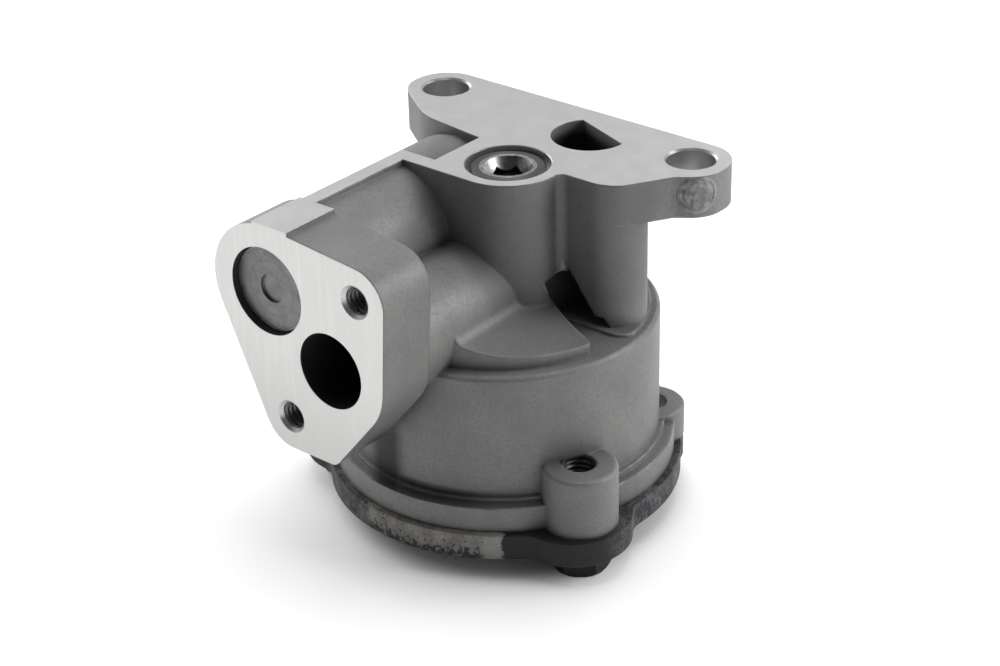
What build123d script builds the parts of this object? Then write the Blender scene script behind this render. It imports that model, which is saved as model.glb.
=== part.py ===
"""Gerotor engine oil pump with a side pickup face and a built-in relief valve.

Millimetres, +Z up. The origin is on the drive axis in the plane of the mounting face,
so the pump hangs below z = 0. X runs from ear to ear and the pickup face looks along -Y.
"""

from build123d import *
from math import cos, pi, radians, sin, sqrt, tan
import os

os.makedirs("parts", exist_ok=True)

# ---------------------------------------------------------------- driving dimensions
# Mounting flange, seen from above.
EAR_LEFT_X = -32.4
EAR_RIGHT_X = 25.4
EAR_Y = 20.8
EAR_RADIUS = 7.3
EAR_THICKNESS = 8.0
EAR_HOLE_RADIUS = 4.5
EAR_HOLE_CHAMFER = 0.4
EAR_CORNER_ROUND = 7.2
EAR_LEFT_DROP = 4.0
EAR_LEFT_ROOT_X = -26.8
EAR_LEFT_ROOT_RISE = 2.0
EAR_LEFT_ROOT_ROUND = 14.0
EAR_RIGHT_DROP = 4.6
EAR_RIGHT_ROUND = 6.5
EAR_RIGHT_ROOT_X = 27.6
EAR_RIGHT_ROOT_Y = 12.6
EAR_RIGHT_ROOT_ROUND = 3.0
POCKET_CORNER_ROUND = 0.4
BULGE_LEFT_X = 9.4
BULGE_RIGHT_X = 21.3
BULGE_Y = 2.3
BULGE_ROUND = 6.0

# Drive shaft, its bore and the tower of metal around it.
SHAFT_RADIUS = 7.05
SHAFT_BORE_CLEARANCE = 0.05
SHAFT_RECESS = 0.6
BORE_MOUTH_STEP = 0.7
BORE_MOUTH_DEPTH = 2.0
BORE_MOUTH_CHAMFER = 0.2
SHAFT_END_GAP = 0.3
SHAFT_END_CHAMFER = 0.5
TOWER_WALL = 3.0
HEX_ACROSS_FLATS = 6.35
HEX_DEPTH = 14.7
HEX_CORNER_ANGLE = 45.0
HEX_MOUTH_RADIUS = 4.5
HEX_MOUTH_HALF_ANGLE = 30.0

# Outlet port: a round hole with one flat side, in a tower of its own.
OUTLET_X = 4.25
OUTLET_Y = 18.6
OUTLET_RADIUS = 7.25
OUTLET_FLAT_OFFSET = 2.8
OUTLET_FLAT_ANGLE = 69.5
OUTLET_WALL = 3.5
OUTLET_FRONT_X = 17.4
OUTLET_FRONT_Y = 8.3
OUTLET_FRONT_RADIUS = 6.2
TOWER_VALLEY_ROUND = 1.8

# Rotor housing. Its axis stands off the drive axis by the rotors' eccentricity.
ECCENTRICITY = 2.3
HOUSING_WALL = 5.83
HOUSING_TOP_Z = -28.8
HOUSING_ROOF = 5.92
ROTOR_HEIGHT = 24.0
ROTOR_END_CLEARANCE = 0.04
FLANGE_LIP = 2.9
FLANGE_HEIGHT = 5.0
FLANGE_STEP_LIP = 1.0
FLANGE_STEP_HEIGHT = 0.8

# Gerotor pair and the kidney ports over and under it.
INNER_LOBES = 4
OUTER_ROTOR_RADIUS = 23.5
ROTOR_BORE_CLEARANCE = 0.07
LOBE_CIRCLE_RADIUS = 20.5
LOBE_RADIUS = 6.0
LOBE_ROOT_ROUND = 1.0
MESH_CLEARANCE = 0.05
ROOT_CLEARANCE = 0.15
ROTOR_EDGE_CHAMFER = 0.4
PORT_RADIUS = 15.8
PORT_WIDTH = 6.4
PORT_START_ANGLE = 32.0
INLET_PORT_DEPTH = 2.4
OUTLET_PORT_DEPTH = 3.2
SHADOW_PORT_DEPTH = 1.5
THROAT_LEFT_X = -10.0
THROAT_RIGHT_X = 3.0
THROAT_FRONT_Y = -19.0
THROAT_BACK_Y = -12.0
THROAT_CORNER_ROUND = 2.5

# Cross pin between the shaft and the inner rotor.
PIN_RADIUS = 2.0
PIN_LENGTH = 22.0
PIN_END_CHAMFER = 0.5
PIN_CLEARANCE = 0.02
PIN_SLOT_CLEARANCE = 0.1
PIN_SLOT_DEPTH = 4.6
SHAFT_FIT_CLEARANCE = 0.02

# Pickup face with its suction port, two threaded holes and the relief valve's plug.
PICKUP_Y = -45.0
PICKUP_THICKNESS = 12.0
SUCTION_X = -3.4
SUCTION_Z = -24.0
SUCTION_RADIUS = 7.15
SUCTION_LOBE_RADIUS = 12.0
INLET_GALLERY_RADIUS = 10.7
SUCTION_END_Y = -11.0
THREAD_UPPER_X = 3.3
THREAD_UPPER_Z = -8.6
THREAD_LOWER_X = -13.85
THREAD_LOWER_Z = -36.65
THREAD_LOBE_RADIUS = 6.4
THREAD_HOLE_RADIUS = 2.5
THREAD_HOLE_DEPTH = 11.0
THREAD_MOUTH_RADIUS = 3.15
THREAD_MOUTH_ANGLE = 90.0
PICKUP_FOOT_X = -4.6
PICKUP_FOOT_RADIUS = 2.4

# Relief valve, along Y above the suction port.
RELIEF_X = -17.7
RELIEF_Z = -12.9
RELIEF_GALLERY_RADIUS = 11.7
RELIEF_BORE_RADIUS = 7.3
RELIEF_LOBE_RADIUS = 12.6
RELIEF_WEB_WIDTH = 8.0
RELIEF_WEB_BITE = 1.3
RELIEF_SEAT_WIDTH = 2.3
RELIEF_CHAMBER_END_Y = 3.0
RELIEF_END_ROUND = 2.0
BYPASS_RADIUS = 2.5
BYPASS_Y = -14.0
FEED_RADIUS = 2.5
FEED_WALL = 2.8
FEED_END_Y = 14.5
FEED_END_Z = -8.0
PLUG_SHOULDER = 1.0
PLUG_CLEARANCE = 0.02
PLUG_RECESS = 1.4
PLUG_THICKNESS = 4.6
PLUG_DIMPLE_RADIUS = 2.7
PLUG_DIMPLE_DEPTH = 0.5
PLUG_EDGE_CHAMFER = 0.3
PLUG_BOSS_RADIUS = 3.0
PLUG_BOSS_LENGTH = 3.0
PLUNGER_CLEARANCE = 0.05
PLUNGER_SEAT_GAP = 0.1
PLUNGER_LENGTH = 16.0
PLUNGER_WALL = 1.9
PLUNGER_CROWN = 3.0
PLUNGER_SEAT_Y = -10.0
PLUNGER_EDGE_CHAMFER = 0.5
SPRING_WIRE_RADIUS = 0.9
SPRING_COIL_RADIUS = 4.2
SPRING_TURNS = 5
SPRING_END_GAP = 0.1

# Cover and its bolts.
COVER_LIP = 1.3
COVER_THICKNESS = 5.3
COVER_FRONT_EAR_RADIUS = 10.9
COVER_FRONT_EAR_REACH = 8.1
COVER_REAR_EAR_RADIUS = 6.3
COVER_EAR_BLEND = 5.0
COVER_EDGE_CHAMFER = 0.6
COVER_HOLE_CLEARANCE = 0.3
BOLT_FRONT_OFFSET = 2.0
BOLT_FRONT_ANGLE = -25.2
BOLT_REAR_OFFSET = -1.2
BOLT_REAR_ANGLE = 45.1
BOLT_BOSS_RADIUS = 7.0
BOLT_BOSS_HEIGHT = 11.8
BOLT_LOBE_RADIUS = 6.4
BOLT_LOBE_HEIGHT = 6.4
BOLT_RADIUS = 3.0
BOLT_CLEARANCE = 0.05
BOLT_LENGTH = 12.0
BOLT_TIP_GAP = 1.2
BOLT_TIP_CHAMFER = 0.5
BOLT_HEAD_FLATS = 10.0
BOLT_HEAD_HEIGHT = 4.0
BOLT_HEAD_CHAMFER = 0.7
BOLT_HEAD_TURN = 37.0

# Small forms of the body casting.
SHOULDER_CHAMFER = 0.6
BOSS_ROUND = 0.8
LOBE_CHAMFER = 0.4
POCKET_X = -11.4
POCKET_BACK_Y = 5.7
POCKET_FRONT_Y = -6.9
LAND_DEPTH = 6.0
RAIL_X = -17.7
RAIL_WIDTH = 2.8
RAIL_HEIGHT = 2.5
PAD_X = -15.9
PAD_WIDTH = 8.2
PAD_HEIGHT = 4.0
GALLERY_END_Y = 7.0
PLATFORM_LEDGE = 3.0
PLATFORM_HEIGHT = 2.25
PLATFORM_BACK_X = 9.6
PLATFORM_BACK_Y = 0.0
PLATFORM_EDGE_ANGLE = -23.7
PLATFORM_CORNER_ROUND = 1.2
PLATFORM_SLOPE_START_X = 6.0
PLATFORM_SLOPE_END_X = 20.0
PLATFORM_SLOPE_RADIUS = 33.0
GALLERY_ROOT_ROUND = 3.0
BASE_LEDGE = 1.7
BASE_HEIGHT = 0.5
BASE_FRONT_Y = 1.3
BASE_CORNER_ROUND = 3.0
RECESS_DEPTH = 7.4
RECESS_LEFT_X = 8.5
RECESS_TOP_Z = -13.9
RECESS_WEB_X = 17.9
RECESS_WEB_Z = -26.4
RECESS_NOTCH_X = 19.4
RECESS_FOOT_X = 20.8
FLANK_RIGHT_X = 12.4
FLANK_TOP_Y = -2.4
FLANK_TOP_Z = -20.3
FLANK_FOOT_Y = 0.9

# ---------------------------------------------------------------- sizes that follow
HOUSING_X = -ECCENTRICITY
HOUSING = (HOUSING_X, 0)
CHAMBER_TOP_Z = HOUSING_TOP_Z - HOUSING_ROOF
SPLIT_Z = CHAMBER_TOP_Z - ROTOR_HEIGHT - 2 * ROTOR_END_CLEARANCE
COVER_BOTTOM_Z = SPLIT_Z - COVER_THICKNESS
BOLT_TIP_Z = COVER_BOTTOM_Z + BOLT_LENGTH
BOLT_HOLE_RADIUS = BOLT_RADIUS + BOLT_CLEARANCE
COVER_HOLE_RADIUS = BOLT_RADIUS + COVER_HOLE_CLEARANCE
CHAMBER_RADIUS = OUTER_ROTOR_RADIUS + ROTOR_BORE_CLEARANCE
HOUSING_RADIUS = CHAMBER_RADIUS + HOUSING_WALL
FLANGE_RADIUS = HOUSING_RADIUS + FLANGE_LIP
FLANGE_STEP_RADIUS = HOUSING_RADIUS + FLANGE_STEP_LIP
COVER_RADIUS = FLANGE_RADIUS + COVER_LIP
BOLT_FRONT_RADIUS = HOUSING_RADIUS + BOLT_FRONT_OFFSET
BOLT_REAR_RADIUS = HOUSING_RADIUS + BOLT_REAR_OFFSET
BOLT_BOSS_TOP_Z = SPLIT_Z + BOLT_BOSS_HEIGHT
BOLT_LOBE_TOP_Z = SPLIT_Z + BOLT_LOBE_HEIGHT
PLATFORM_RADIUS = HOUSING_RADIUS - PLATFORM_LEDGE
PLUG_RADIUS = RELIEF_BORE_RADIUS + PLUG_SHOULDER
RELIEF_CHAMBER_RADIUS = RELIEF_BORE_RADIUS - RELIEF_SEAT_WIDTH
ROTOR_BOTTOM_Z = SPLIT_Z + ROTOR_END_CLEARANCE
ROTOR_TOP_Z = ROTOR_BOTTOM_Z + ROTOR_HEIGHT
SHAFT_BORE_RADIUS = SHAFT_RADIUS + SHAFT_BORE_CLEARANCE
TOWER_RADIUS = SHAFT_BORE_RADIUS + TOWER_WALL
SHAFT_BOTTOM_Z = SPLIT_Z + SHAFT_END_GAP
PIN_Z = ROTOR_TOP_Z - PIN_SLOT_DEPTH / 2
EAR_BACK_Y = EAR_Y + EAR_RADIUS
OUTLET_FACE_Y = OUTLET_FRONT_Y - OUTLET_FRONT_RADIUS
LAND_FRONT_Y = -TOWER_RADIUS
RAIL_LEFT_X = RAIL_X - RAIL_WIDTH / 2
PLATFORM_TOP_Z = HOUSING_TOP_Z + PLATFORM_HEIGHT
BASE_TOP_Z = HOUSING_TOP_Z + BASE_HEIGHT
RECESS_BACK_Y = OUTLET_FACE_Y + RECESS_DEPTH
RECESS_SLOPE = (RECESS_WEB_Z - RECESS_TOP_Z) / (RECESS_WEB_X - RECESS_LEFT_X)
FLANK_RIGHT_Z = RECESS_TOP_Z + RECESS_SLOPE * (FLANK_RIGHT_X - RECESS_LEFT_X)
BORE_MOUTH_RADIUS = SHAFT_BORE_RADIUS + BORE_MOUTH_STEP
PLUG_INNER_Y = PICKUP_Y + PLUG_RECESS + PLUG_THICKNESS
PLUNGER_TOP_Y = PLUNGER_SEAT_Y - PLUNGER_SEAT_GAP
OUTER_LOBES = INNER_LOBES + 1


def housing_point(radius, angle):
    """Point at a radius and an angle in degrees about the rotor housing's axis."""
    return (HOUSING_X + radius * cos(radians(angle)), radius * sin(radians(angle)))


FRONT_BOLTS = [
    housing_point(BOLT_FRONT_RADIUS, BOLT_FRONT_ANGLE),
    housing_point(BOLT_FRONT_RADIUS, 180 - BOLT_FRONT_ANGLE),
]
REAR_BOLTS = [
    housing_point(BOLT_REAR_RADIUS, BOLT_REAR_ANGLE),
    housing_point(BOLT_REAR_RADIUS, 180 - BOLT_REAR_ANGLE),
]
BOLTS = FRONT_BOLTS + REAR_BOLTS
FRONT_EAR_CENTRE = BOLT_FRONT_RADIUS + COVER_FRONT_EAR_REACH - COVER_FRONT_EAR_RADIUS
COVER_FRONT_EARS = [
    housing_point(FRONT_EAR_CENTRE, BOLT_FRONT_ANGLE),
    housing_point(FRONT_EAR_CENTRE, 180 - BOLT_FRONT_ANGLE),
]

PLAN = Plane.XY
SPLIT = Plane.XY.offset(SPLIT_Z)
FACE = Plane(origin=(0, PICKUP_Y, 0), x_dir=(1, 0, 0), z_dir=(0, -1, 0))
OUTLET_FACE = Plane(origin=(0, OUTLET_FACE_Y, 0), x_dir=(1, 0, 0), z_dir=(0, -1, 0))
FLANK = Plane(origin=(RECESS_LEFT_X, 0, 0), x_dir=(0, 1, 0), z_dir=(1, 0, 0))
RELIEF_AXIS = (RELIEF_X, RELIEF_Z)


def circles_at(builder, z, radius):
    """Circular edges of one radius at one height."""
    margin = 0.01
    level = builder.edges().filter_by(GeomType.CIRCLE).filter_by_position(
        Axis.Z, z - margin, z + margin
    )
    return level.filter_by(lambda edge: abs(edge.radius - radius) < margin)


def save(part, name):
    part.label = name
    export_step(part, f"parts/{name}.step")


# ---------------------------------------------------------------- crescent platform
# The platform's top falls away from the round inlet gallery in one wide hollow.
SLOPE_RUN = PLATFORM_SLOPE_END_X - PLATFORM_SLOPE_START_X
SLOPE_RISE = PLATFORM_SLOPE_RADIUS - sqrt(PLATFORM_SLOPE_RADIUS**2 - SLOPE_RUN**2)
SLOPE_START = (PLATFORM_SLOPE_START_X, PLATFORM_TOP_Z + SLOPE_RISE)
SLOPE_END = (PLATFORM_SLOPE_END_X, PLATFORM_TOP_Z)
PLATFORM_FOOT_Z = HOUSING_TOP_Z - SHOULDER_CHAMFER
PLATFORM_FRONT_Y = -2 * PLATFORM_RADIUS
EDGE_RUN = PLATFORM_RADIUS
EDGE_DROP = EDGE_RUN * tan(radians(PLATFORM_EDGE_ANGLE))

with BuildPart() as platform:
    with BuildSketch(FACE):
        with Locations((SUCTION_X, SUCTION_Z)):
            Circle(INLET_GALLERY_RADIUS)
        with BuildLine():
            RadiusArc(SLOPE_START, SLOPE_END, -PLATFORM_SLOPE_RADIUS)
            Polyline(
                SLOPE_END,
                (HOUSING_RADIUS, PLATFORM_TOP_Z),
                (HOUSING_RADIUS, PLATFORM_FOOT_Z),
                (-HOUSING_RADIUS, PLATFORM_FOOT_Z),
                (-HOUSING_RADIUS, PLATFORM_TOP_Z),
                (SUCTION_X, PLATFORM_TOP_Z),
                SLOPE_START,
            )
        make_face()
        root = vertices().sort_by_distance((SUCTION_X + INLET_GALLERY_RADIUS, SUCTION_Z))[0]
        fillet(root, radius=GALLERY_ROOT_ROUND)
    extrude(amount=PICKUP_Y)
    with BuildSketch(Plane.XY.offset(PLATFORM_FOOT_Z)):
        with Locations(HOUSING):
            Circle(PLATFORM_RADIUS)
        with BuildLine():
            Polyline(
                (-HOUSING_RADIUS, PLATFORM_BACK_Y),
                (PLATFORM_BACK_X, PLATFORM_BACK_Y),
                (PLATFORM_BACK_X + EDGE_RUN, PLATFORM_BACK_Y + EDGE_DROP),
                (PLATFORM_BACK_X + EDGE_RUN, PLATFORM_FRONT_Y),
                (-HOUSING_RADIUS, PLATFORM_FRONT_Y),
                close=True,
            )
        make_face(mode=Mode.INTERSECT)
        corner = vertices().sort_by(Axis.X)[-1]
        fillet(corner, radius=PLATFORM_CORNER_ROUND)
    extrude(amount=HOUSING_RADIUS, mode=Mode.INTERSECT)

with BuildPart() as relief_gallery:
    with BuildSketch(FACE):
        with Locations(RELIEF_AXIS):
            Circle(RELIEF_GALLERY_RADIUS)
    extrude(amount=PICKUP_Y - GALLERY_END_Y)
    fillet(relief_gallery.edges().group_by(Axis.Y)[-1], radius=RELIEF_END_ROUND)

# ---------------------------------------------------------------- pump body
INLET_ARC = CenterArc(HOUSING, PORT_RADIUS, 180 + PORT_START_ANGLE, 180 - 2 * PORT_START_ANGLE)
OUTLET_ARC = CenterArc(HOUSING, PORT_RADIUS, PORT_START_ANGLE, 180 - 2 * PORT_START_ANGLE)
FEED_START = Vector(RELIEF_X, RELIEF_CHAMBER_END_Y - FEED_RADIUS, RELIEF_Z)
FEED_END = Vector(0, FEED_END_Y, FEED_END_Z)
FEED = Plane(origin=FEED_START, z_dir=FEED_END - FEED_START)
FEED_LENGTH = (FEED_END - FEED_START).length
BYPASS_START = Vector(RELIEF_X, BYPASS_Y, RELIEF_Z)
BYPASS_END = Vector(SUCTION_X, BYPASS_Y, SUCTION_Z)
BYPASS = Plane(origin=BYPASS_START, z_dir=BYPASS_END - BYPASS_START)

with BuildPart() as pump_body:
    # Rotor housing with its bevelled shoulder and the stepped flange at the split line.
    with BuildSketch(SPLIT):
        with Locations(HOUSING):
            Circle(HOUSING_RADIUS)
    extrude(amount=HOUSING_TOP_Z - SPLIT_Z)
    chamfer(pump_body.edges().group_by(Axis.Z)[-1], length=SHOULDER_CHAMFER)
    with BuildSketch(SPLIT):
        with Locations(HOUSING):
            Circle(FLANGE_STEP_RADIUS)
    extrude(amount=FLANGE_HEIGHT + FLANGE_STEP_HEIGHT)
    with BuildSketch(SPLIT):
        with Locations(HOUSING):
            Circle(FLANGE_RADIUS)
    extrude(amount=FLANGE_HEIGHT)
    # Round bosses for the cover bolts: tall ones in front, low ones behind.
    with BuildSketch(SPLIT):
        with Locations(*FRONT_BOLTS):
            Circle(BOLT_BOSS_RADIUS)
    extrude(amount=BOLT_BOSS_TOP_Z - SPLIT_Z)
    fillet(circles_at(pump_body, BOLT_BOSS_TOP_Z, BOLT_BOSS_RADIUS), radius=BOSS_ROUND)
    with BuildSketch(SPLIT):
        with Locations(*REAR_BOLTS):
            Circle(BOLT_LOBE_RADIUS)
    extrude(amount=BOLT_LOBE_TOP_Z - SPLIT_Z)
    chamfer(circles_at(pump_body, BOLT_LOBE_TOP_Z, BOLT_LOBE_RADIUS), length=LOBE_CHAMFER)

    # Mounting flange: two ears on a straight back edge, with a bulge over the outlet tower.
    with BuildSketch(PLAN):
        with BuildLine():
            FilletPolyline(
                (EAR_LEFT_X - EAR_RADIUS, EAR_BACK_Y),
                (EAR_LEFT_X - EAR_RADIUS, EAR_Y - EAR_LEFT_DROP),
                (EAR_LEFT_ROOT_X, POCKET_BACK_Y + EAR_LEFT_ROOT_RISE),
                (POCKET_X, POCKET_BACK_Y),
                (0, 0),
                (BULGE_LEFT_X, BULGE_Y),
                (BULGE_RIGHT_X, BULGE_Y),
                (EAR_RIGHT_ROOT_X, EAR_RIGHT_ROOT_Y),
                (EAR_RIGHT_X + EAR_RADIUS, EAR_Y - EAR_RIGHT_DROP),
                (EAR_RIGHT_X + EAR_RADIUS, EAR_BACK_Y),
                radius=(
                    EAR_CORNER_ROUND,
                    EAR_CORNER_ROUND,
                    EAR_LEFT_ROOT_ROUND,
                    POCKET_CORNER_ROUND,
                    TOWER_VALLEY_ROUND,
                    TOWER_VALLEY_ROUND,
                    BULGE_ROUND,
                    EAR_RIGHT_ROOT_ROUND,
                    EAR_RIGHT_ROUND,
                    EAR_CORNER_ROUND,
                ),
                close=True,
            )
        make_face()
        Circle(TOWER_RADIUS)
        valley = vertices().sort_by_distance((TOWER_RADIUS, OUTLET_FACE_Y))[0]
        fillet(valley, radius=TOWER_VALLEY_ROUND)
    extrude(amount=-EAR_THICKNESS)

    # Flat land between the drive tower and the relief gallery.
    with BuildSketch(PLAN):
        with BuildLine():
            Polyline(
                (POCKET_X, POCKET_BACK_Y),
                (POCKET_X, POCKET_FRONT_Y),
                (RAIL_LEFT_X, POCKET_FRONT_Y),
                (RAIL_LEFT_X, LAND_FRONT_Y),
                (0, LAND_FRONT_Y),
                (0, POCKET_BACK_Y),
                close=True,
            )
        make_face()
    extrude(amount=-LAND_DEPTH)

    # Drive tower and outlet tower, from the flange down to the housing's shoulder.
    with BuildSketch(PLAN):
        with Locations((OUTLET_X, OUTLET_Y)):
            Circle(OUTLET_RADIUS + OUTLET_WALL)
        with Locations((OUTLET_FRONT_X, OUTLET_FRONT_Y)):
            Circle(OUTLET_FRONT_RADIUS)
        make_hull()
        with Locations((OUTLET_X, EAR_BACK_Y + OUTLET_RADIUS)):
            Rectangle(4 * OUTLET_RADIUS, 2 * OUTLET_RADIUS, mode=Mode.SUBTRACT)
        with BuildLine():
            Polyline(
                (OUTLET_X, OUTLET_Y),
                (0, OUTLET_FACE_Y),
                (OUTLET_FRONT_X, OUTLET_FACE_Y),
                close=True,
            )
        make_face()
        Circle(TOWER_RADIUS)
        valley = vertices().sort_by_distance((TOWER_RADIUS, OUTLET_FACE_Y))[0]
        fillet(valley, radius=TOWER_VALLEY_ROUND)
        with Locations((POCKET_X / 2, (LAND_FRONT_Y + POCKET_BACK_Y) / 2)):
            Rectangle(-POCKET_X, POCKET_BACK_Y - LAND_FRONT_Y)
    extrude(amount=HOUSING_TOP_Z)
    # Raised base round the foot of the outlet tower.
    with BuildSketch(Plane.XY.offset(HOUSING_TOP_Z)):
        with Locations(HOUSING):
            Circle(HOUSING_RADIUS - BASE_LEDGE)
        with Locations((HOUSING_X, BASE_FRONT_Y + HOUSING_RADIUS / 2)):
            Rectangle(2 * HOUSING_RADIUS, HOUSING_RADIUS, mode=Mode.INTERSECT)
        fillet(vertices(), radius=BASE_CORNER_ROUND)
    extrude(amount=BASE_HEIGHT)
    # Slanting recess in the foot of the outlet tower, under a web, down to the raised base.
    with BuildSketch(OUTLET_FACE):
        with BuildLine():
            Polyline(
                (RECESS_LEFT_X, BASE_TOP_Z),
                (RECESS_FOOT_X, BASE_TOP_Z),
                (RECESS_NOTCH_X, RECESS_WEB_Z),
                (RECESS_WEB_X, RECESS_WEB_Z),
                (RECESS_LEFT_X, RECESS_TOP_Z),
                close=True,
            )
        make_face()
    extrude(amount=-RECESS_DEPTH, mode=Mode.SUBTRACT)
    with BuildSketch(PLAN):
        Circle(TOWER_RADIUS)
    extrude(amount=HOUSING_TOP_Z)
    # The recess runs on into the flank of the drive tower.
    with BuildSketch(FLANK):
        with BuildLine():
            Polyline(
                (FLANK_TOP_Y, FLANK_TOP_Z),
                (FLANK_FOOT_Y, BASE_TOP_Z),
                (RECESS_BACK_Y, BASE_TOP_Z),
                (RECESS_BACK_Y, FLANK_RIGHT_Z),
                (OUTLET_FACE_Y, FLANK_RIGHT_Z),
                close=True,
            )
        make_face()
    extrude(amount=FLANK_RIGHT_X - RECESS_LEFT_X, mode=Mode.SUBTRACT)

    # Pickup flange block.
    with BuildSketch(FACE):
        with Locations(RELIEF_AXIS):
            Circle(RELIEF_LOBE_RADIUS)
        with Locations((THREAD_UPPER_X, THREAD_UPPER_Z), (THREAD_LOWER_X, THREAD_LOWER_Z)):
            Circle(THREAD_LOBE_RADIUS)
        with Locations((SUCTION_X, SUCTION_Z)):
            Circle(SUCTION_LOBE_RADIUS)
        with Locations((PICKUP_FOOT_X, THREAD_LOWER_Z - THREAD_LOBE_RADIUS + PICKUP_FOOT_RADIUS)):
            Circle(PICKUP_FOOT_RADIUS)
        make_hull()
    extrude(amount=-PICKUP_THICKNESS)

    # Relief gallery on its web, with the machined rail and the pad over the pickup face.
    add(relief_gallery.part)
    with BuildSketch(FACE):
        with Locations((RELIEF_X, (RELIEF_Z + HOUSING_TOP_Z - RELIEF_WEB_BITE) / 2)):
            Rectangle(RELIEF_WEB_WIDTH, RELIEF_Z - HOUSING_TOP_Z + RELIEF_WEB_BITE)
    extrude(amount=PICKUP_Y)
    with BuildSketch(FACE):
        with Locations((RAIL_X, -RAIL_HEIGHT / 2)):
            Rectangle(RAIL_WIDTH, RAIL_HEIGHT)
    extrude(amount=PICKUP_Y - LAND_FRONT_Y)
    with BuildSketch(FACE):
        with Locations((PAD_X, -PAD_HEIGHT / 2)):
            Rectangle(PAD_WIDTH, PAD_HEIGHT)
    extrude(amount=-PICKUP_THICKNESS)

    # Inlet gallery, from the suction port into the drive tower, and the crescent platform.
    with BuildSketch(FACE):
        with Locations((SUCTION_X, SUCTION_Z)):
            Circle(INLET_GALLERY_RADIUS)
        with Locations((THREAD_LOWER_X, THREAD_LOWER_Z)):
            Circle(THREAD_LOBE_RADIUS)
        make_hull()
    extrude(amount=PICKUP_Y)
    add(platform.part)

    # Slanting gallery that feeds the relief valve from the outlet port.
    with BuildSketch(FEED):
        Circle(FEED_RADIUS + FEED_WALL)
    extrude(amount=FEED_LENGTH)

    # Rotor chamber, kidney ports and the throat up to the suction port.
    with BuildSketch(SPLIT):
        with Locations(HOUSING):
            Circle(CHAMBER_RADIUS)
    extrude(amount=CHAMBER_TOP_Z - SPLIT_Z, mode=Mode.SUBTRACT)
    with BuildSketch(Plane.XY.offset(CHAMBER_TOP_Z)):
        SlotArc(INLET_ARC, PORT_WIDTH)
    extrude(amount=INLET_PORT_DEPTH, mode=Mode.SUBTRACT)
    with BuildSketch(Plane.XY.offset(CHAMBER_TOP_Z)):
        SlotArc(OUTLET_ARC, PORT_WIDTH)
    extrude(amount=OUTLET_PORT_DEPTH, mode=Mode.SUBTRACT)
    with BuildSketch(Plane.XY.offset(CHAMBER_TOP_Z)):
        with Locations(
            ((THROAT_LEFT_X + THROAT_RIGHT_X) / 2, (THROAT_FRONT_Y + THROAT_BACK_Y) / 2)
        ):
            RectangleRounded(
                THROAT_RIGHT_X - THROAT_LEFT_X, THROAT_BACK_Y - THROAT_FRONT_Y, THROAT_CORNER_ROUND
            )
    extrude(amount=SUCTION_Z - CHAMBER_TOP_Z, mode=Mode.SUBTRACT)

    # Outlet port with its flat side, and the drive bore.
    with BuildSketch(PLAN):
        with Locations((OUTLET_X, OUTLET_Y)):
            Circle(OUTLET_RADIUS)
        with Locations(Location((OUTLET_X, OUTLET_Y, 0), (0, 0, OUTLET_FLAT_ANGLE))):
            with Locations((OUTLET_FLAT_OFFSET + OUTLET_RADIUS, 0)):
                Rectangle(2 * OUTLET_RADIUS, 3 * OUTLET_RADIUS, mode=Mode.SUBTRACT)
    extrude(amount=CHAMBER_TOP_Z + OUTLET_PORT_DEPTH, mode=Mode.SUBTRACT)
    with BuildSketch(PLAN):
        Circle(SHAFT_BORE_RADIUS)
    extrude(amount=CHAMBER_TOP_Z, mode=Mode.SUBTRACT)
    with BuildSketch(PLAN):
        Circle(BORE_MOUTH_RADIUS)
    extrude(amount=-BORE_MOUTH_DEPTH, mode=Mode.SUBTRACT)
    chamfer(circles_at(pump_body, 0, BORE_MOUTH_RADIUS), length=BORE_MOUTH_CHAMFER)

    # Mounting holes in the two ears.
    with BuildSketch(PLAN):
        with Locations((EAR_LEFT_X, EAR_Y), (EAR_RIGHT_X, EAR_Y)):
            Circle(EAR_HOLE_RADIUS)
    extrude(amount=-EAR_THICKNESS, mode=Mode.SUBTRACT)
    chamfer(circles_at(pump_body, 0, EAR_HOLE_RADIUS), length=EAR_HOLE_CHAMFER)

    # Suction port, plug seat, relief bore, pressure chamber and the two cross passages.
    with BuildSketch(FACE):
        with Locations((SUCTION_X, SUCTION_Z)):
            Circle(SUCTION_RADIUS)
    extrude(amount=PICKUP_Y - SUCTION_END_Y, mode=Mode.SUBTRACT)
    with BuildSketch(FACE):
        with Locations(RELIEF_AXIS):
            Circle(PLUG_RADIUS)
    extrude(amount=PICKUP_Y - PLUG_INNER_Y, mode=Mode.SUBTRACT)
    with BuildSketch(FACE):
        with Locations(RELIEF_AXIS):
            Circle(RELIEF_BORE_RADIUS)
    extrude(amount=PICKUP_Y - PLUNGER_SEAT_Y, mode=Mode.SUBTRACT)
    with BuildSketch(FACE):
        with Locations(RELIEF_AXIS):
            Circle(RELIEF_CHAMBER_RADIUS)
    extrude(amount=PICKUP_Y - RELIEF_CHAMBER_END_Y, mode=Mode.SUBTRACT)
    with BuildSketch(FEED):
        Circle(FEED_RADIUS)
    extrude(amount=FEED_LENGTH, mode=Mode.SUBTRACT)
    with BuildSketch(BYPASS):
        Circle(BYPASS_RADIUS)
    extrude(amount=(BYPASS_END - BYPASS_START).length, mode=Mode.SUBTRACT)

    # Threaded holes in the pickup face.
    with Locations(FACE):
        with Locations((THREAD_UPPER_X, THREAD_UPPER_Z), (THREAD_LOWER_X, THREAD_LOWER_Z)):
            CounterSinkHole(
                radius=THREAD_HOLE_RADIUS,
                counter_sink_radius=THREAD_MOUTH_RADIUS,
                depth=THREAD_HOLE_DEPTH,
                counter_sink_angle=THREAD_MOUTH_ANGLE,
            )

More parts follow.
